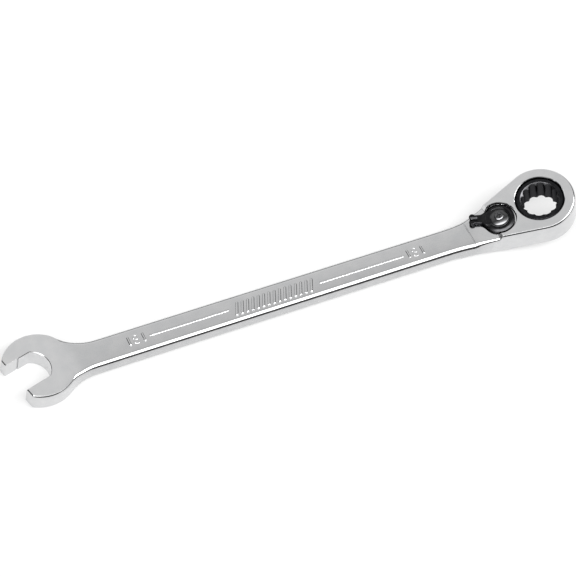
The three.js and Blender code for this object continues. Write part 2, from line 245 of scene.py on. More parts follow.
def outline_distance(x, y, outline):
    x, y = np.broadcast_arrays(x, y)
    best = np.full(x.shape, 1e9)
    inside = np.zeros(x.shape, bool)
    for (ax, ay), (bx, by) in zip(outline, np.roll(outline, -1, 0)):
        dx, dy = bx - ax, by - ay
        t = np.clip(((x - ax) * dx + (y - ay) * dy) / (dx * dx + dy * dy), 0, 1)
        best = np.minimum(best, (x - ax - t * dx) ** 2 + (y - ay - t * dy) ** 2)
        if dy:
            inside ^= ((ay > y) != (by > y)) & (x < ax + (y - ay) * dx / dy)
    return np.where(inside, -1, 1) * np.sqrt(best)


def surface(field, axes):
    """Quads through the zero of a sampled field: one vertex for each cell that the surface crosses."""
    inside = field < 0
    n = [s - 1 for s in field.shape]
    corner = [(slice(i, i + n[0]), slice(j, j + n[1]), slice(k, k + n[2]))
              for i in (0, 1) for j in (0, 1) for k in (0, 1)]
    count = sum(inside[c].astype(np.int8) for c in corner)
    cells = np.argwhere((count > 0) & (count < 8))
    index = np.full(n, -1)
    index[tuple(cells.T)] = np.arange(len(cells))
    total = np.zeros((len(cells), 3))
    hits = np.zeros(len(cells))
    for axis in range(3):
        for a in (0, 1):
            for b in (0, 1):
                start = cells.copy()
                others = [k for k in range(3) if k != axis]
                start[:, others[0]] += a
                start[:, others[1]] += b
                end = start.copy()
                end[:, axis] += 1
                f0, f1 = field[tuple(start.T)], field[tuple(end.T)]
                hit = (f0 < 0) != (f1 < 0)
                t = np.where(hit, f0 / np.where(hit, f0 - f1, 1), 0)
                for k in range(3):
                    p0, p1 = axes[k][start[:, k]], axes[k][end[:, k]]
                    total[:, k] += np.where(hit, p0 + t * (p1 - p0), 0)
                hits += hit
    verts = total / hits[:, None]
    quads = []
    for axis in range(3):
        p, q = (axis + 1) % 3, (axis + 2) % 3
        low = [slice(None)] * 3
        high = [slice(None)] * 3
        low[axis], high[axis] = slice(0, -1), slice(1, None)
        change = inside[tuple(low)] != inside[tuple(high)]
        at = np.argwhere(change)
        keep = (at[:, p] > 0) & (at[:, q] > 0) & (at[:, p] < n[p]) & (at[:, q] < n[q])
        at = at[keep]
        out = inside[tuple(at.T)]
        ring = []
        for dp, dq in ((-1, -1), (0, -1), (0, 0), (-1, 0)):
            cell = at.copy()
            cell[:, p] += dp
            cell[:, q] += dq
            ring.append(index[tuple(cell.T)])
        quad = np.array(ring).T
        quad[~out] = quad[~out][:, ::-1]
        quads.append(quad)
    return verts, np.vstack(quads)


def settle(verts, distance, rounds=3, eps=0.002, most=0.12):
    """Moves vertices onto the zero of a distance function."""
    p = verts.copy()
    for _ in range(rounds):
        d = distance(p[:, 0], p[:, 1], p[:, 2])
        g = np.empty_like(p)
        for k in range(3):
            q = p.copy()
            q[:, k] += eps
            g[:, k] = (distance(q[:, 0], q[:, 1], q[:, 2]) - d) / eps
        step = g * (d / np.maximum((g * g).sum(1), 1e-4))[:, None]
        size = np.linalg.norm(step, axis=1, keepdims=True)
        p -= step * np.minimum(1, most / np.maximum(size, 1e-9))
    return p


# ---- the forged body: handle, open head and ring head ----
def arc(radius, start, end, steps, centre=(0, 0)):
    turn = np.linspace(start, end, steps + 1)
    return np.c_[centre[0] + radius * np.cos(turn), centre[1] + radius * np.sin(turn)]


def open_outline():
    """The open head with rounded jaw tips, running on into the handle."""
    cx, cy = JAW_CENTRE
    shoulder = []
    for side, radius in ((1, SHOULDERS[0]), (-1, SHOULDERS[1])):
        y = side * (WIDTH + radius)
        shoulder.append((cx + math.sqrt((JAW_RADIUS + radius) ** 2 - (y - cy) ** 2), y))
    touch = [math.atan2(y - cy, x - cx) for x, y in shoulder]
    ct, st = math.cos(JAW_TILT), math.sin(JAW_TILT)
    cu, cv = cx * ct + cy * st, -cx * st + cy * ct
    fu = JAW_TIP + TIP_ROUND
    spread = math.sqrt((JAW_RADIUS - TIP_ROUND) ** 2 - (fu - cu) ** 2)
    tips = []
    for side in (1, -1):
        fv = cv + side * spread
        tips.append(((fu * ct - fv * st, fu * st + fv * ct), math.atan2(fv - cv, fu - cu) + JAW_TILT))
    (far_tip, far_turn), (near_tip, near_turn) = tips
    straight = math.pi + JAW_TILT
    near_turn += 2 * math.pi
    beyond = 60.0
    return np.vstack([
        [(beyond, -WIDTH), (beyond, WIDTH)],
        arc(SHOULDERS[0], -math.pi / 2, touch[0] - math.pi, 60, shoulder[0]),
        arc(JAW_RADIUS, touch[0], far_turn, 120, JAW_CENTRE)[1:],
        arc(TIP_ROUND, far_turn, straight, 16, far_tip)[1:],
        arc(TIP_ROUND, straight, near_turn, 16, near_tip),
        arc(JAW_RADIUS, near_turn, touch[1] + 2 * math.pi, 120, JAW_CENTRE)[1:],
        arc(SHOULDERS[1], touch[1] + math.pi, math.pi / 2, 60, shoulder[1])[1:],
    ])


OPEN_OUTLINE = open_outline()


def neck_curve():
    """Half-width of the neck against u, from the cheek's end back to the handle."""
    y = RING_RADIUS * math.cos(CHEEK) - (-RING_RADIUS * math.sin(CHEEK) - CHEEK_END) * math.tan(CHEEK)
    p = np.array([(CHEEK_END, y), (CHEEK_END - 4.8, y - 4.8 * math.tan(CHEEK)),
                  (NECK_START + 4.6, WIDTH), (NECK_START, WIDTH)])
    t = np.linspace(0, 1, 200)[:, None]
    line = (1 - t) ** 3 * p[0] + 3 * (1 - t) ** 2 * t * p[1] + 3 * (1 - t) * t * t * p[2] + t ** 3 * p[3]
    return line[::-1]


NECK = neck_curve()


def neck_width(u):
    return np.interp(u, NECK[:, 0], NECK[:, 1])


def shaft_field(x, y, z):
    """Open head and handle: an outline with a rounded edge towards a slightly crowned face."""
    near = x < OPEN_END
    edge = np.abs(y) - neck_width(x - RING[0] + NECK_SHIFT)
    if np.any(near):
        edge = np.where(near, outline_distance(x, y, OPEN_OUTLINE), edge)
    full = JAW_HALF + GROUND
    along = np.clip((x - 20) / 90, 0, 1)
    half = full + (HALF - full) * ease(10.8, 14.8, x) + 0.05 * along
    crown = (0.09 + 0.05 * along) * (y / WIDTH) ** 2 * ease(14, 24, x)
    r = 1.0 + 0.25 * ease(9, 20, x) + 0.2 * along
    return rounded_plate(edge, np.abs(z) - half + crown, r)


def head_outline(u, v):
    v = np.abs(v)
    along = -u * math.cos(CHEEK) - v * math.sin(CHEEK)
    line = -u * math.sin(CHEEK) + v * math.cos(CHEEK) - RING_RADIUS
    lobe = np.where(along < 0, np.hypot(u, v) - RING_RADIUS, line)
    return np.where(u < CHEEK_END, (v - neck_width(u)) * 0.98, lobe)


def body_field(x, y, z):
    """Ring head and neck in the head's frame, a low part and a raised one, joined to the handle."""
    dx, dz = x - RING[0], z - RING[2]
    u = dx * COS + dz * SIN
    w = -dx * SIN + dz * COS
    edge = head_outline(u, y)
    r = 0.8 + 0.7 * (1 - ease(-21, -14, u))
    full = HEAD_HALF + GROUND
    low = rounded_plate(edge, np.abs(w - (PLATFORM - full) / 2) - (PLATFORM + full) / 2, r)
    low = np.maximum(low, -24 - u)
    high = rounded_plate(edge, np.abs(w) - full, 1.12)
    shoulder = (STEP - 0.3 - u) * 0.82 + (w - PLATFORM) * 0.57
    high = round_both(high, shoulder, 0.12)
    head = round_both(soft_min(low, high, 0.12), -z - HALF, 0.9)
    handle = np.maximum(shaft_field(np.minimum(x, 130.0), y, z), x - 124)
    return soft_min(head, handle, 0.2)


def stretches(x):
    """Which points lie on which stretch of the forging, each with the field that describes it."""
    near, ring = x < OPEN_END, x >= RING_START
    return (near, shaft_field), (~near & ~ring, shaft_field), (ring, body_field)


def whole_field(x, y, z):
    found = np.empty(len(x))
    for part, field in stretches(x):
        found[part] = field(x[part], y[part], z[part])
    return found


def forging():
    """The forging before anything is cut: a fine grid at both heads and a coarse one between them."""
    open_xs = np.arange(-3.6, 23, GRID)
    handle_xs = np.arange(24, 112, COARSE)
    xs = np.concatenate([open_xs, handle_xs, np.arange(113, 149.6, GRID)])
    ys = np.arange(-9.9, 11.1, GRID)
    zs = np.arange(-2.9, 11.2, GRID)
    field = np.ones((len(xs), len(ys), len(zs)))
    ring = len(open_xs) + len(handle_xs)
    thin = int(np.searchsorted(zs, 2.9))
    y, z = ys[None, :, None], zs[None, None, :]
    field[:ring, :, :thin] = shaft_field(xs[:ring, None, None], y, z[:, :, :thin])
    field[ring:] = body_field(xs[ring:, None, None], y, z)
    verts, quads = surface(field, (xs, ys, zs))
    for part, distance in stretches(verts[:, 0]):
        verts[part] = settle(verts[part], distance)
    return make("wrench_forging", verts, quads)


def gap_outline(offset):
    """Parallel flats and a round throat, all moved outwards by the offset."""
    flat, throat = FLAT + offset, THROAT + offset
    meet = math.asin(flat / throat)
    points = np.vstack([
        [(JAW_TIP - 7, -flat)],
        arc(throat, -meet, meet, 72, (THROAT_AT, 0)),
        [(JAW_TIP - 7, flat)],
    ])
    c, s = math.cos(JAW_TILT), math.sin(JAW_TILT)
    return points @ np.array([[c, s], [-s, c]])


def jaw_cutters():
    """The gap with its chamfers, and the grip step with a groove behind it in the far flat."""
    chamfer = 0.12
    gap = extrude("gap", gap_outline, [
        (chamfer + 1, -JAW_HALF - 1), (0, -JAW_HALF + chamfer),
        (0, JAW_HALF - chamfer), (chamfer + 1, JAW_HALF + 1)])
    c, s = math.cos(JAW_TILT), math.sin(JAW_TILT)
    grip = np.array([
        (-6, 3.6), (3.1, 3.6), (3.1, 4.04), (2.95, 4.06), (2.9, 4.42),
        (2.72, 4.48), (2.55, 4.42), (2.5, 4.25), (-6, 4.25)])
    grip = grip @ np.array([[c, s], [-s, c]])
    step = extrude("grip", lambda _: grip, [(0, -JAW_HALF - 1), (0, JAW_HALF + 1)])
    return [gap, step]


def head_cutters():
    """The gear's bore, the lever's seat and well, the pawl's pocket and the crease across the neck."""
    over = HEAD_HALF + 1
    bore = lathe("bore", [
        (0, -over), (6.9 + 1.3, -over), (6.9, -HEAD_HALF + 0.3), (6.9, -3.0), (7.4, -3.0), (7.4, -2.2),
        (6.9, -2.2), (6.9, 2.3), (6.15, 2.3), (6.15, HEAD_HALF - 0.14), (6.15 + 1.14, over), (0, over)], 256)
    seat = lathe("seat", [
        (0, 0.4), (2.0, 0.4), (2.0, 2.25), (2.15, 2.4), (4.2, 2.4), (4.35, 2.5),
        (4.35, HEAD_HALF - 0.12), (4.35 + 1.12, over), (0, over)], 192)
    transform(seat, Matrix.Translation((PIVOT, 0, 0)))
    well = lathe("well", [(0, -1.5), (2.45, -1.5), (2.45, 1.5), (0, 1.5)], 96)
    transform(well, Matrix.Translation((PIVOT, 0, 0)))
    span = math.radians(33)
    pocket_line = np.vstack([arc(9.1, math.pi - span, math.pi + span, 40),
                             arc(6.3, math.pi + span, math.pi - span, 40)])
    pocket = extrude("pocket", lambda _: pocket_line, [(0, -1.75), (0, 1.75)])
    crease_u = (HALF + 0.03 - RING[2] - PLATFORM * COS) / SIN
    crease_x = RING[0] + crease_u * COS - PLATFORM * SIN
    crease = lathe("crease", [(0, -6), (0.17, -6), (0.17, 6), (0, 6)], 24)
    transform(crease, Matrix.Translation((crease_x, 0, HALF + 0.12)) @ Matrix.Rotation(math.pi / 2, 4, "X"))
    return [transform(t, IN_SHAFT) for t in (bore, seat, well, pocket)] + [crease]


def bar(x0, x1, y, width, height, lean=0.0):
    """Raised bar with round ends and a rounded section on the handle's top."""
    def line(offset):
        r = width / 2 + offset
        right = arc(r, -math.pi / 2, math.pi / 2, 10, (x1 - width / 2, 0))
        left = arc(r, math.pi / 2, 3 * math.pi / 2, 10, (x0 + width / 2, 0))
        return np.vstack([right, left])
    base = HALF
    soft = width / 2 - 0.04
    turns = np.linspace(0, math.pi / 2, 7)
    rise = [(-soft * (1 - math.cos(t)), base + height * math.sin(t)) for t in turns]
    obj = extrude("bar", line, [(0, base - 0.4)] + rise)
    if lean:
        middle = Matrix.Translation(((x0 + x1) / 2, 0, 0))
        transform(obj, middle @ Matrix.Rotation(lean, 4, "Z") @ middle.inverted())
    return transform(obj, Matrix.Translation((0, y, 0)))


def numeral(text, x, y, size, height):
    """Raised generic numeral on the handle's top."""
    curve = bpy.data.curves.new("numeral", "FONT")
    curve.body = text
    curve.size = size
    curve.align_x = "CENTER"
    curve.align_y = "CENTER"
    curve.extrude = 0.2
    curve.bevel_depth = 0.02
    curve_depth = curve.extrude + curve.bevel_depth
    curve.bevel_resolution = 2
    curve.resolution_u = 6
    holder = bpy.data.objects.new("numeral_curve", curve)
    bpy.context.scene.collection.objects.link(holder)
    graph = bpy.context.evaluated_depsgraph_get()
    mesh = bpy.data.meshes.new_from_object(holder.evaluated_get(graph))
    bpy.data.objects.remove(holder)
    obj = bpy.data.objects.new("numeral", mesh)
    bpy.context.scene.collection.objects.link(obj)
    bm = bmesh.new()
    bm.from_mesh(mesh)
    bmesh.ops.remove_doubles(bm, verts=bm.verts, dist=1e-4)
    bm.to_mesh(mesh)
    bm.free()
    return transform(obj, Matrix.Translation((x, y, HALF + height - curve_depth)))


def handle_marks():
    """A line along each half of the handle, leaning bars between them and a size numeral at each end."""
    rib, rib_height = 0.62, 0.13
    marks = [bar(33.2, 54.0, 0.0, rib, rib_height), bar(78.0, 101.0, -0.4, rib, rib_height)]
    first, pitch, reach = 56.0, 1.42, 2.05
    for i in range(15):
        x = first + i * pitch
        marks.append(bar(x - reach, x + reach, -0.35, 0.74, 0.32, SLANT))
    for x, y in ((29.9, 0.1), (104.3, -0.3)):
        marks.append(numeral("8", x, y, 3.8, 0.12))
        for side in (x - 1.9, x + 1.9):
            marks.append(bar(side - 1.3, side + 1.3, y, 0.62, 0.3, math.pi / 2))
    return marks


def slab(x0, x1, z0, z1):
    line = np.array([(x0, -12), (x1, -12), (x1, 12), (x0, 12)])
    return extrude("slab", lambda _: line, [(0, z0), (0, z1)])


def grinding():
    """What is ground off both faces of the open head and of the ring head."""
    jaws = [slab(-8, 30, JAW_HALF, 4), slab(-8, 30, -4, -JAW_HALF)]
    ring = [slab(-14, 10, HEAD_HALF, 5), slab(-14, 10, -5, -HEAD_HALF)]
    return jaws + [transform(t, IN_SHAFT) for t in ring]


def field_normals(obj, distance, matrix):
    """Shading normals from the distance field, wherever the surface still is the field's own."""
    mesh = obj.data
    at = np.empty(len(mesh.vertices) * 3)
    mesh.vertices.foreach_get("co", at)
    at = at.reshape(-1, 3)
    inverse = np.array(matrix.inverted())
    at = at / MM @ inverse[:3, :3].T + inverse[:3, 3]
    here = distance(*at.T)
    slope = np.empty_like(at)
    for k in range(3):
        step = np.zeros(3)
        step[k] = 0.004
        slope[:, k] = distance(*(at + step).T) - distance(*(at - step).T)
    slope /= np.maximum(np.linalg.norm(slope, axis=1, keepdims=True), 1e-9)
    slope = slope @ np.array(matrix)[:3, :3].T
    corner = np.empty(len(mesh.loops) * 3)
    mesh.corner_normals.foreach_get("vector", corner)
    corner = corner.reshape(-1, 3)
    vertex = np.empty(len(mesh.loops), np.int64)
    mesh.loops.foreach_get("vertex_index", vertex)
    facing = np.empty(len(mesh.polygons) * 3)
    mesh.polygons.foreach_get("normal", facing)
    sides = np.empty(len(mesh.polygons), np.int64)
    mesh.polygons.foreach_get("loop_total", sides)
    facing = np.repeat(facing.reshape(-1, 3), sides, axis=0)
    own = (np.abs(here[vertex]) < 0.012) & ((facing * slope[vertex]).sum(1) > 0.93)
    corner[own] = slope[vertex][own]
    mesh.normals_split_custom_set(corner)
    return obj


def wrench():
    body = forging()
    combine(body, grinding())
    combine(body, jaw_cutters())
    combine(body, head_cutters())
    combine(body, handle_marks(), "UNION")
    body.name = "wrench_forged_body"
    finish_mesh(body, SHAFT, 24)
    return field_normals(body, whole_field, SHAFT)


# ---- ratchet gear ----
def twelve_point(_):
    """Twelve round lobes that meet in sharp inner points."""
    inner, outer, step = 4.12, 4.74, math.pi / 12
    chord_x, chord_y = inner * math.cos(step), inner * math.sin(step)
    rise = outer - chord_x
    radius = (rise * rise + chord_y * chord_y) / (2 * rise)
    reach = math.atan2(chord_y, chord_x - outer + radius)
    lobe = arc(radius, -reach, reach, 10, (outer - radius, 0))[:-1]
    turns = [(math.cos(i * math.pi / 6), math.sin(i * math.pi / 6)) for i in range(12)]
    return np.vstack([lobe @ np.array([[c, s], [-s, c]]) for c, s in turns])


def gear():
    """Stepped ring with 72 teeth in its middle, a twelve-point bore and a lead-in at each end."""
    half, rim, edge, tooth_half, teeth_radius = 3.15, 5.95, 0.25, 2.1, 6.68
    blank = lathe("gear", [
        (0, -half), (rim - edge, -half), (rim - 0.06, -half + edge - 0.04), (rim, -half + edge + 0.05),
        (rim, -tooth_half), (teeth_radius, -tooth_half), (teeth_radius, tooth_half), (rim, tooth_half),
        (rim, half - edge - 0.05), (rim - 0.06, half - edge + 0.04), (rim - edge, half), (0, half)], 216)
    pitch = 2 * math.pi / 72
    teeth = []
    for i in range(72):
        a = i * pitch
        teeth += [(6.3 * math.cos(a), 6.3 * math.sin(a)),
                  (6.7 * math.cos(a + 0.4 * pitch), 6.7 * math.sin(a + 0.4 * pitch)),
                  (6.7 * math.cos(a + 0.6 * pitch), 6.7 * math.sin(a + 0.6 * pitch))]
    teeth = np.array(teeth)
    outer = arc(9, 0, 2 * math.pi, 216)[:-1]
    n = len(teeth)
    verts = [(x, y, z) for line in (teeth, outer) for z in (-tooth_half, tooth_half) for x, y in line]
    faces = []
    for i in range(n):
        j = (i + 1) % n
        a0, a1, b0, b1 = i, i + n, i + 2 * n, i + 3 * n
        c0, c1, d0, d1 = j, j + n, j + 2 * n, j + 3 * n
        faces += [(a0, a1, c1, c0), (b0, d0, d1, b1), (a0, c0, d0, b0), (a1, b1, d1, c1)]
    gaps = make("gaps", verts, faces)
    bore = extrude("bore", twelve_point, [(0, -half - 1), (0, half + 1)])
    tools = [gaps, bore]
    for side, mouth, slope in ((1, 4.84, 1.0), (-1, 4.4, 1.2)):
        end, past = half - (mouth - 4) / slope - 0.2, half + 1
        funnel = lathe("funnel", [
            (0, side * end), (4 - 0.2 * slope, side * end), (mouth - 0.02, side * (half - 0.03)),
            (mouth + 0.06, side * (half + 0.02)), (mouth + slope, side * past), (0, side * past)], 192)
        tools.append(funnel)
    return finish_mesh(combine(blank, tools), HEAD, 24)


# ---- lever ----
DISC = 3.95                    # the disc's radius
DISC_CONE = (0.48, 0.877)      # slope of its chamfered edge
LEVER_MIDDLE = 3.03            # halfway through the disc and the tab, above the pivot's middle
TAB_END = -6.6                 # where the two lobes of the tab have their middles
LOBE = 0.77
TAB_NECK = 1.2                 # half the tab's width before it flares into the disc


def lever_field(a, b, w):
    """Chamfered disc with a groove, a two-lobed thumb tab towards -a, and the square-sided boss."""
    rho = np.hypot(a, b)
    stem = np.maximum(np.abs(b) - TAB_NECK - 0.5 * ease(-4.8, -3.0, a), TAB_END - a)
    lobes = np.hypot(a - TAB_END, np.abs(b) - LOBE) - LOBE
    tab_edge = np.maximum(np.minimum(stem, lobes), a)
    tab = rounded_plate(tab_edge, np.abs(w - LEVER_MIDDLE) - 0.46, 0.3)
    valley = np.maximum(np.hypot(b, w - 3.72) - 0.5, a + 5.3)
    tab = -soft_min(-tab, valley, 0.2)
    plate = rounded_plate(rho - DISC, np.abs(w - LEVER_MIDDLE) - 0.48, 0.1)
    cone = (rho - DISC) * DISC_CONE[0] + (w - 3.12) * DISC_CONE[1]
    disc = round_both(plate, cone, 0.1)
    groove = np.hypot(rho - 2.62, w - 3.55) - 0.2
    disc = -soft_min(-disc, groove, 0.08)
    top = soft_min(disc, tab, 0.9)
    boss = rounded_plate(np.maximum(rho - 1.8, np.abs(a) - 1.4), np.abs(w - 1.9) - 0.9, 0.12)
    screw_hole = 0.8 - rho
    return np.maximum(np.minimum(top, boss), screw_hole)


def lever():
    """The lever's surface, sampled on its own fine grid."""
    step = 0.085
    xs = np.arange(-7.7, 4.3, step)
    ys = np.arange(-4.3, 4.35, step)
    zs = np.arange(0.8, 3.9, step)
    grid = lever_field(xs[:, None, None], ys[None, :, None], zs[None, None, :])
    verts, quads = surface(grid, (xs, ys, zs))
    verts = settle(verts, lever_field, 3, 0.002, 0.05)
    obj = finish_mesh(make("thumb_lever", verts, quads), LEVER, 35)
    return field_normals(obj, lever_field, LEVER)


def screw():
    """Pan head with a cross recess."""
    head = lathe("screw_head", rounded([
        (0, 0.35), (0.65, 0.35), (0.65, 4.13), (1.15, 4.13), (1.15, 4.32), (0.9, 4.47), (0, 4.5)],
        [0, 0.08, 0, 0.06, 0.08, 0.12, 0]), 96)

    def slot_outline(offset):
        x, y = 0.62 + offset, 0.13 + offset
        return np.array([(-x, -y), (x, -y), (x, y), (-x, y)])

    tools = []
    for turn in (0.5, 0.5 + math.pi / 2):
        slot = extrude("slot", slot_outline, [(-0.04, 4.12), (0, 4.44), (0.1, 4.56), (0.1, 5)])
        tools.append(transform(slot, Matrix.Rotation(turn, 4, "Z")))
    return finish_mesh(combine(head, tools), LEVER, 30)


def washer():
    """Thin dome, steeper towards its edge."""
    inner, outer, low, thick, dish = 0.85, 2.3, 3.53, 0.13, 0.49
    steps = 24
    profile = []
    for i in range(steps + 1):
        t = i / steps
        profile.append((inner + (outer - inner) * t, low + dish * (1 - t ** 1.8)))
    upper = [(r, z + thick) for r, z in profile[::-1]]
    outer_lip, inner_lip = (outer + 0.04, low + thick / 2), (inner - 0.03, low + dish + thick / 2)
    profile = profile + [outer_lip] + upper + [inner_lip]
    return finish_mesh(lathe("dome_washer", profile, 128), LEVER, 40)


def clip():
    """Open spring ring under the gear."""
    inner, outer, low, high = 6.2, 7.2, -2.85, -2.35
    section = rounded([(inner, low), (outer, low), (outer, high), (inner, high)], [0.1] * 4, 4)
    gap = math.radians(17)
    turns = np.linspace(gap, 2 * math.pi - gap, 120)
    rings = [[(r * math.cos(t), r * math.sin(t), z) for r, z in section] for t in turns]
    return finish_mesh(outward(loft("snap_ring", rings)), HEAD, 35)


def spring():
    """Coil spring in the hub's cross hole."""
    wire, radius, turns, per_turn = 0.09, 0.42, 5, 36
    start, end, height = -1.4 + 0.19, 1.95 - 0.55 - 0.15, -0.65
    rings = []
    steps = turns * per_turn
    for i in range(steps + 1):
        a = 2 * math.pi * turns * i / steps
        x = start + (end - start) * i / steps
        out = np.array([0, math.cos(a), math.sin(a)])
        centre = np.array([x, 0, height]) + radius * out
        along = np.array([(end - start) / (2 * math.pi * turns), -radius * math.sin(a), radius * math.cos(a)])
        along /= np.linalg.norm(along)
        side = np.cross(along, out)
        rings.append([centre + wire * (math.cos(t) * out + math.sin(t) * side)
                      for t in np.linspace(0, 2 * math.pi, 10, endpoint=False)])
    return finish_mesh(outward(loft("coil_spring", rings)), LEVER, 50)


def ball():
    radius = 0.55
    turns = np.linspace(-math.pi / 2, math.pi / 2, 33)
    profile = [(max(radius * math.cos(t), 0), radius * math.sin(t)) for t in turns]
    profile[0], profile[-1] = (0, -radius), (0, radius)
    obj = lathe("index_ball", profile, 48)
    transform(obj, Matrix.Translation((1.95, 0, -0.65)))
    return finish_mesh(obj, LEVER, 60)


# ---- materials ----
class Graph:
    """Short calls for making and linking nodes in a shader tree."""

    def __init__(self, tree):
        self.tree = tree

    def new(self, kind, **settings):
        node = self.tree.nodes.new(kind)
        for key, value in settings.items():
            setattr(node, key, value)
        return node

    def link(self, a, b):
        self.tree.links.new(a, b)

    def feed(self, socket, value):
        if hasattr(value, "is_linked"):
            self.link(value, socket)
        else:
            socket.default_value = value

    def math(self, operation, a, b=0.0):
        node = self.new("ShaderNodeMath", operation=operation)
        self.feed(node.inputs[0], a)
        self.feed(node.inputs[1], b)
        return node.outputs[0]

    def ramp(self, value, stops):
        node = self.new("ShaderNodeValToRGB")
        elements = node.color_ramp.elements
        while len(elements) < len(stops):
            elements.new(0.5)
        for element, (at, colour) in zip(elements, stops):
            element.position = at
            element.color = (*colour, 1) if isinstance(colour, tuple) else (colour, colour, colour, 1)
        self.link(value, node.inputs["Fac"])
        return node.outputs["Color"]

    def spread(self, value, low, high, to_low, to_high):
        node = self.new("ShaderNodeMapRange", clamp=True)
        self.link(value, node.inputs["Value"])
        for key, number in (("From Min", low), ("From Max", high), ("To Min", to_low), ("To Max", to_high)):
            node.inputs[key].default_value = number
        return node.outputs["Result"]

    def split(self, vector):
        node = self.new("ShaderNodeSeparateXYZ")
        self.link(vector, node.inputs[0])
        return node.outputs["X"], node.outputs["Y"], node.outputs["Z"]


class Nodes(Graph):
    """A material with a Principled shader and the patterns that feed it."""

    def __init__(self, name, metallic, rough, **sockets):
        self.material = bpy.data.materials.new(name)
        self.material.use_nodes = True
        super().__init__(self.material.node_tree)
        self.shader = self.tree.nodes["Principled BSDF"]
        self.shader.inputs["Metallic"].default_value = metallic
        self.shader.inputs["Roughness"].default_value = rough
        for key, value in sockets.items():
            self.shader.inputs[key.replace("_", " ")].default_value = value
        self.place = self.new("ShaderNodeTexCoord").outputs["Object"]

    def frame(self, matrix):
        """Coordinates in millimetres in a local frame."""
        node = self.new("ShaderNodeMapping", vector_type="POINT")
        inverse = matrix.inverted()
        node.inputs["Location"].default_value = inverse.to_translation()
        node.inputs["Rotation"].default_value = inverse.to_euler()
        node.inputs["Scale"].default_value = (1000, 1000, 1000)
        self.link(self.place, node.inputs["Vector"])
        return node.outputs["Vector"]

    def scaled(self, vector, scale):
        node = self.new("ShaderNodeMapping", vector_type="POINT")
        node.inputs["Scale"].default_value = scale
        self.link(vector, node.inputs["Vector"])
        return node.outputs["Vector"]

    def noise(self, vector, scale, detail):
        node = self.new("ShaderNodeTexNoise")
        self.link(vector, node.inputs["Vector"])
        node.inputs["Scale"].default_value = scale
        node.inputs["Detail"].default_value = detail
        node.inputs["Roughness"].default_value = 0.55
        return node.outputs["Fac"]

    def mix(self, factor, a, b):
        node = self.new("ShaderNodeMix", data_type="RGBA")
        self.feed(node.inputs["Factor"], factor)
        for key, value in (("A", a), ("B", b)):
            socket = next(s for s in node.inputs if s.name == key and s.type == "RGBA")
            if isinstance(value, tuple):
                socket.default_value = (*value, 1)
            else:
                self.link(value, socket)
        return next(s for s in node.outputs if s.type == "RGBA")

    def bumps(self, *layers):
        """Heights in millimetres, stacked: (height socket, depth)."""
        normal = None
        for height, depth in layers:
            node = self.new("ShaderNodeBump")
            node.inputs["Strength"].default_value = 1.0
            node.inputs["Distance"].default_value = depth * MM
            self.link(height, node.inputs["Height"])
            if normal is not None:
                self.link(normal, node.inputs["Normal"])
            normal = node.outputs["Normal"]
        self.link(normal, self.shader.inputs["Normal"])

    def radius(self, at):
        x, y, z = self.split(at)
        square = self.math("ADD", self.math("MULTIPLY", x, x), self.math("MULTIPLY", y, y))
        return self.math("SQRT", square), z

    def bands(self, value, *centres, half=0.05, soft=0.07):
        """1 where the value is near one of the centres, 0 elsewhere."""
        found = None
        for centre in centres:
            away = self.math("ABSOLUTE", self.math("SUBTRACT", value, centre))
            one = self.spread(away, half, half + soft, 1.0, 0.0)
            found = one if found is None else self.math("MAXIMUM", found, one)
        return found

    def colour(self, socket):
        self.link(socket, self.shader.inputs["Base Color"])

    def rough(self, socket):
        self.link(socket, self.shader.inputs["Roughness"])


def chrome(name, matrix):
    """Satin chrome, lighter on the ground heads, with fine scratches along the handle."""
    m = Nodes(name, 1.0, 0.12)
    at = m.frame(matrix)
    cloud = m.noise(at, 0.35, 4.0)
    fine = m.noise(at, 9.0, 3.0)
    brushed = m.noise(m.scaled(at, (0.5, 14.0, 14.0)), 1.0, 3.0)
    along, _, _ = m.split(at)
    heads = m.math("MAXIMUM", m.spread(along, 9.0, 17.0, 1.0, 0.0), m.spread(along, 119.0, 125.0, 0.0, 1.0))
    shaft = m.ramp(cloud, [(0.3, (0.53, 0.535, 0.542)), (0.7, (0.58, 0.58, 0.583))])
    ends = m.ramp(cloud, [(0.3, (0.615, 0.62, 0.628)), (0.7, (0.665, 0.665, 0.668))])
    tone = m.mix(heads, shaft, ends)
    specks = m.spread(m.noise(at, 26.0, 2.0), 0.7, 0.78, 0.0, 0.35)
    m.colour(m.mix(specks, tone, (0.5, 0.5, 0.51)))
    blend = m.math("ADD", m.math("MULTIPLY", cloud, 0.6), m.math("MULTIPLY", fine, 0.4))
    m.rough(m.spread(blend, 0.3, 0.7, 0.07, 0.15))
    m.bumps((m.noise(at, 0.5, 2.0), 0.012), (brushed, 0.0009), (fine, 0.0022))
    return m.material


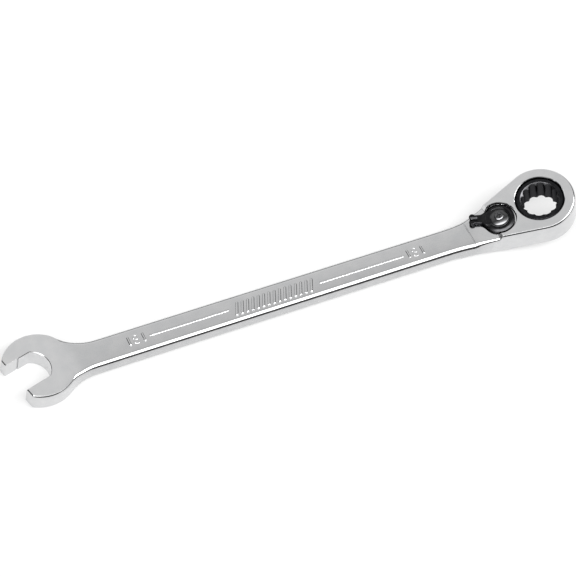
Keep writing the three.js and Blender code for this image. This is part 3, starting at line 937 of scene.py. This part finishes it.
def black_oxide(name, matrix):
    """Turned black steel, rubbed lighter along the rim and a little greyer in the bore."""
    m = Nodes(name, 1.0, 0.3, Specular_Tint=(0.3, 0.3, 0.3, 1))
    at = m.frame(matrix)
    radius, height = m.radius(at)
    lines = m.new("ShaderNodeTexNoise", noise_dimensions="1D")
    m.link(radius, lines.inputs["W"])
    lines.inputs["Scale"].default_value = 22.0
    lines.inputs["Detail"].default_value = 3.0
    turned = lines.outputs["Fac"]
    cloud = m.noise(at, 0.9, 4.0)
    base = m.ramp(cloud, [(0.3, (0.014, 0.0145, 0.016)), (0.7, (0.026, 0.026, 0.028))])
    high = m.spread(m.math("ABSOLUTE", height), 2.7, 2.95, 0.0, 1.0)
    wear_and_sheen = m.math("MULTIPLY", m.bands(radius, 5.88), high)
    wear_and_sheen = m.math("MULTIPLY", wear_and_sheen, m.spread(m.noise(at, 1.4, 4.0), 0.35, 0.65, 0.1, 0.6))
    inside = m.spread(radius, 4.8, 4.98, 1.0, 0.0)
    base = m.mix(inside, base, (0.065, 0.065, 0.068))
    m.colour(m.mix(wear_and_sheen, base, (0.16, 0.157, 0.155)))
    m.rough(m.spread(m.math("ADD", m.math("MULTIPLY", turned, 0.5), m.math("MULTIPLY", cloud, 0.5)),
                     0.3, 0.7, 0.16, 0.3))
    m.bumps((turned, 0.003), (m.noise(at, 12.0, 3.0), 0.0015))
    return m.material


def black_gloss(name, matrix):
    """Glossy black, with painted sheen: slightly lighter bands along the lever's round edges brighten its
    highlight crescents.
    """
    sheen_gain, rings = 0.15, (3.24, 3.9)
    m = Nodes(name, 1.0, 0.16, Specular_Tint=(0.35, 0.35, 0.35, 1))
    at = m.frame(matrix)
    radius, _ = m.radius(at)
    cloud = m.noise(at, 1.2, 4.0)
    base = m.ramp(cloud, [(0.3, (0.017, 0.017, 0.018)), (0.7, (0.026, 0.026, 0.027))])
    # painted sheen: a slightly lighter base on bands at both radii of the chamfered edge makes the highlight
    # crescents there brighter
    wear_and_sheen = m.math("MULTIPLY", m.bands(radius, *rings), m.spread(m.noise(at, 2.0, 4.0), 0.4, 0.7, 0.0, sheen_gain))
    m.colour(m.mix(wear_and_sheen, base, (0.16, 0.155, 0.15)))
    m.rough(m.spread(m.noise(at, 4.0, 3.0), 0.3, 0.7, 0.1, 0.2))
    m.bumps((m.noise(at, 2.0, 2.0), 0.003), (m.noise(at, 18.0, 2.0), 0.0006))
    return m.material


def plain_steel(name, matrix, tone, low, high):
    """Steel of a given tone, with a roughness between low and high."""
    m = Nodes(name, 1.0, 0.3)
    at = m.frame(matrix)
    cloud = m.noise(at, 1.6, 4.0)
    dark = tuple(0.75 * c for c in tone)
    m.colour(m.ramp(cloud, [(0.3, dark), (0.7, tone)]))
    m.rough(m.spread(m.noise(at, 5.0, 3.0), 0.3, 0.7, low, high))
    m.bumps((m.noise(at, 14.0, 3.0), 0.0015), (m.noise(m.scaled(at, (2, 30, 30)), 1.0, 2.0), 0.001))
    return m.material


# ---- the pieces ----
def place(obj, body, slot, material, *nodes):
    obj.data.materials.clear()
    obj.data.materials.append(material)
    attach(obj, body)
    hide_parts(*nodes)
    return obj


chrome_skin = chrome("satin_chrome", SHAFT)
oxide = black_oxide("black_oxide", HEAD)
gloss = black_gloss("gloss_black", LEVER)
dark_screw = plain_steel("screw_steel", LEVER, (0.12, 0.12, 0.124), 0.16, 0.28)
washer_steel = plain_steel("dark_polished_steel", LEVER, (0.085, 0.085, 0.087), 0.08, 0.15)
spring_steel = plain_steel("spring_steel", HEAD, (0.45, 0.45, 0.46), 0.2, 0.34)
pawl_steel = plain_steel("oiled_steel", HEAD, (0.11, 0.11, 0.115), 0.22, 0.36)
ball_steel = plain_steel("bearing_steel", LEVER, (0.66, 0.66, 0.67), 0.06, 0.12)

place(wrench(), "wrench", "body_chrome", chrome_skin, "wrench_body")
place(gear(), "gear", "gear_black_oxide", oxide, "ratchet_gear")
place(lever(), "lever", "lever_black", gloss, "reversing_lever")
place(screw(), "lever", "screw_black", dark_screw, "lever_screw")
place(washer(), "lever", "washer_steel", washer_steel, "lever_washer")
place(clip(), "wrench", "spring_steel", spring_steel, "gear_retaining_ring")
place(spring(), "lever", "spring_steel", spring_steel, "detent_spring")
place(ball(), "lever", "ball_steel", ball_steel, "detent_ball")
for node in ("pawl", "selector_hub"):
    frame["nodes"][node].data.materials.clear()
    frame["nodes"][node].data.materials.append(pawl_steel)

# ---- floor, light and camera ----
floor = make("floor", [(-3, -3, 0), (3, -3, 0), (3, 3, 0), (-3, 3, 0)], [(0, 1, 2, 3)])
paper = Nodes("pale_floor", 0.0, 0.9)
paper.shader.inputs["Specular IOR Level"].default_value = 0.0
paper.colour(paper.ramp(paper.noise(paper.place, 40.0, 2.0), [(0.0, 0.165), (1.0, 0.175)]))
paper.shader.inputs["Emission Color"].default_value = (1, 1, 1, 1)
paper.shader.inputs["Emission Strength"].default_value = 0.58
floor.data.materials.append(paper.material)


def studio():
    """Room light by direction: a soft light along the near side, dark ends and a lamp beyond the ring."""
    world = bpy.data.worlds.new("studio")
    bpy.context.scene.world = world
    world.use_nodes = True
    world.node_tree.nodes.clear()
    g = Graph(world.node_tree)
    direction = g.new("ShaderNodeTexCoord").outputs["Generated"]
    x, y, z = g.split(direction)
    turn = g.math("ARCTAN2", g.math("MULTIPLY", y, -1.0), z)
    peak = 14.0
    # degrees from straight up, positive towards the near side, and how bright the room is there
    stops = [(-180, 1.0), (-98, 0.8), (-92, 0.12), (-80, 0.12), (-71, 0.8), (-62, 1.02), (-45, 0.98),
             (-31, 0.88), (-16, 0.66), (-8, 0.54), (6, 1.8), (16, 4.0), (22, 14.0), (33, 14.0), (40, 4.0),
             (50, 2.2), (54, 0.1), (92, 0.06), (97, 0.8), (180, 1.0)]
    colour = g.ramp(g.spread(turn, -math.pi, math.pi, 0.0, 1.0),
                    [((degrees + 180) / 360, value / peak) for degrees, value in stops])
    aside = g.math("ABSOLUTE", x)
    low = g.spread(z, 0.42, 0.6, 1.0, 0.0)
    ends = g.spread(aside, 0.5, 0.72, 0.0, 0.93)
    dim = g.math("SUBTRACT", 1.0, g.math("MULTIPLY", low, ends))
    near = g.math("MULTIPLY", g.spread(y, -0.5, -0.3, 1.0, 0.0), g.spread(aside, 0.42, 0.58, 0.0, 0.55))
    glow = g.math("MULTIPLY", near, g.spread(z, 0.3, 0.42, 1.0, 0.0))
    towards = g.new("ShaderNodeVectorMath", operation="DOT_PRODUCT")
    g.link(direction, towards.inputs[0])
    towards.inputs[1].default_value = Vector((0.84, -0.06, 0.54)).normalized()
    lamp = g.spread(towards.outputs["Value"], 0.972, 0.99, 0.0, 7.0)

    def background(strength, tone):
        node = g.new("ShaderNodeBackground")
        g.feed(node.inputs["Strength"], strength)
        g.feed(node.inputs["Color"], tone)
        return node.outputs[0]

    both = g.new("ShaderNodeAddShader")
    g.link(background(g.math("MULTIPLY", dim, peak), colour), both.inputs[0])
    g.link(background(g.math("ADD", glow, lamp), (0.8, 0.8, 0.8, 1)), both.inputs[1])
    choose = g.new("ShaderNodeMixShader")
    g.link(g.new("ShaderNodeLightPath").outputs["Is Camera Ray"], choose.inputs["Fac"])
    g.link(both.outputs[0], choose.inputs[1])
    g.link(background(1.05, (0.9, 0.9, 0.9, 1)), choose.inputs[2])
    g.link(choose.outputs[0], g.new("ShaderNodeOutputWorld").inputs["Surface"])


studio()
bpy.context.scene.view_settings.view_transform = "Standard"

# The camera stands where the photograph was taken from: what it looks at, how far off, and its angles.
TARGET = (shaft_row + np.array([71.248, 2.119, 0])) * MM
DISTANCE = 725.663 * MM
BEARING = math.radians(-35.02)
HEIGHT = math.radians(53.65)
ROLL = math.radians(11.84)
back = Vector((math.sin(BEARING) * math.cos(HEIGHT), -math.cos(BEARING) * math.cos(HEIGHT), math.sin(HEIGHT)))
right = Vector((0, 0, 1)).cross(back).normalized()
up = back.cross(right)
turned_right = right * math.cos(ROLL) + up * math.sin(ROLL)
turned_up = up * math.cos(ROLL) - right * math.sin(ROLL)
camera_data = bpy.data.cameras.new("camera")
camera_data.sensor_width = 36
camera_data.lens = 187.80
camera_data.shift_x = -0.0012
camera_data.clip_start = 0.01
camera = bpy.data.objects.new("camera", camera_data)
bpy.context.scene.collection.objects.link(camera)
place_at = Vector(TARGET) + back * DISTANCE
rotation = Matrix((turned_right, turned_up, back)).transposed().to_4x4()
camera.matrix_world = Matrix.Translation(place_at) @ rotation
bpy.context.scene.camera = camera
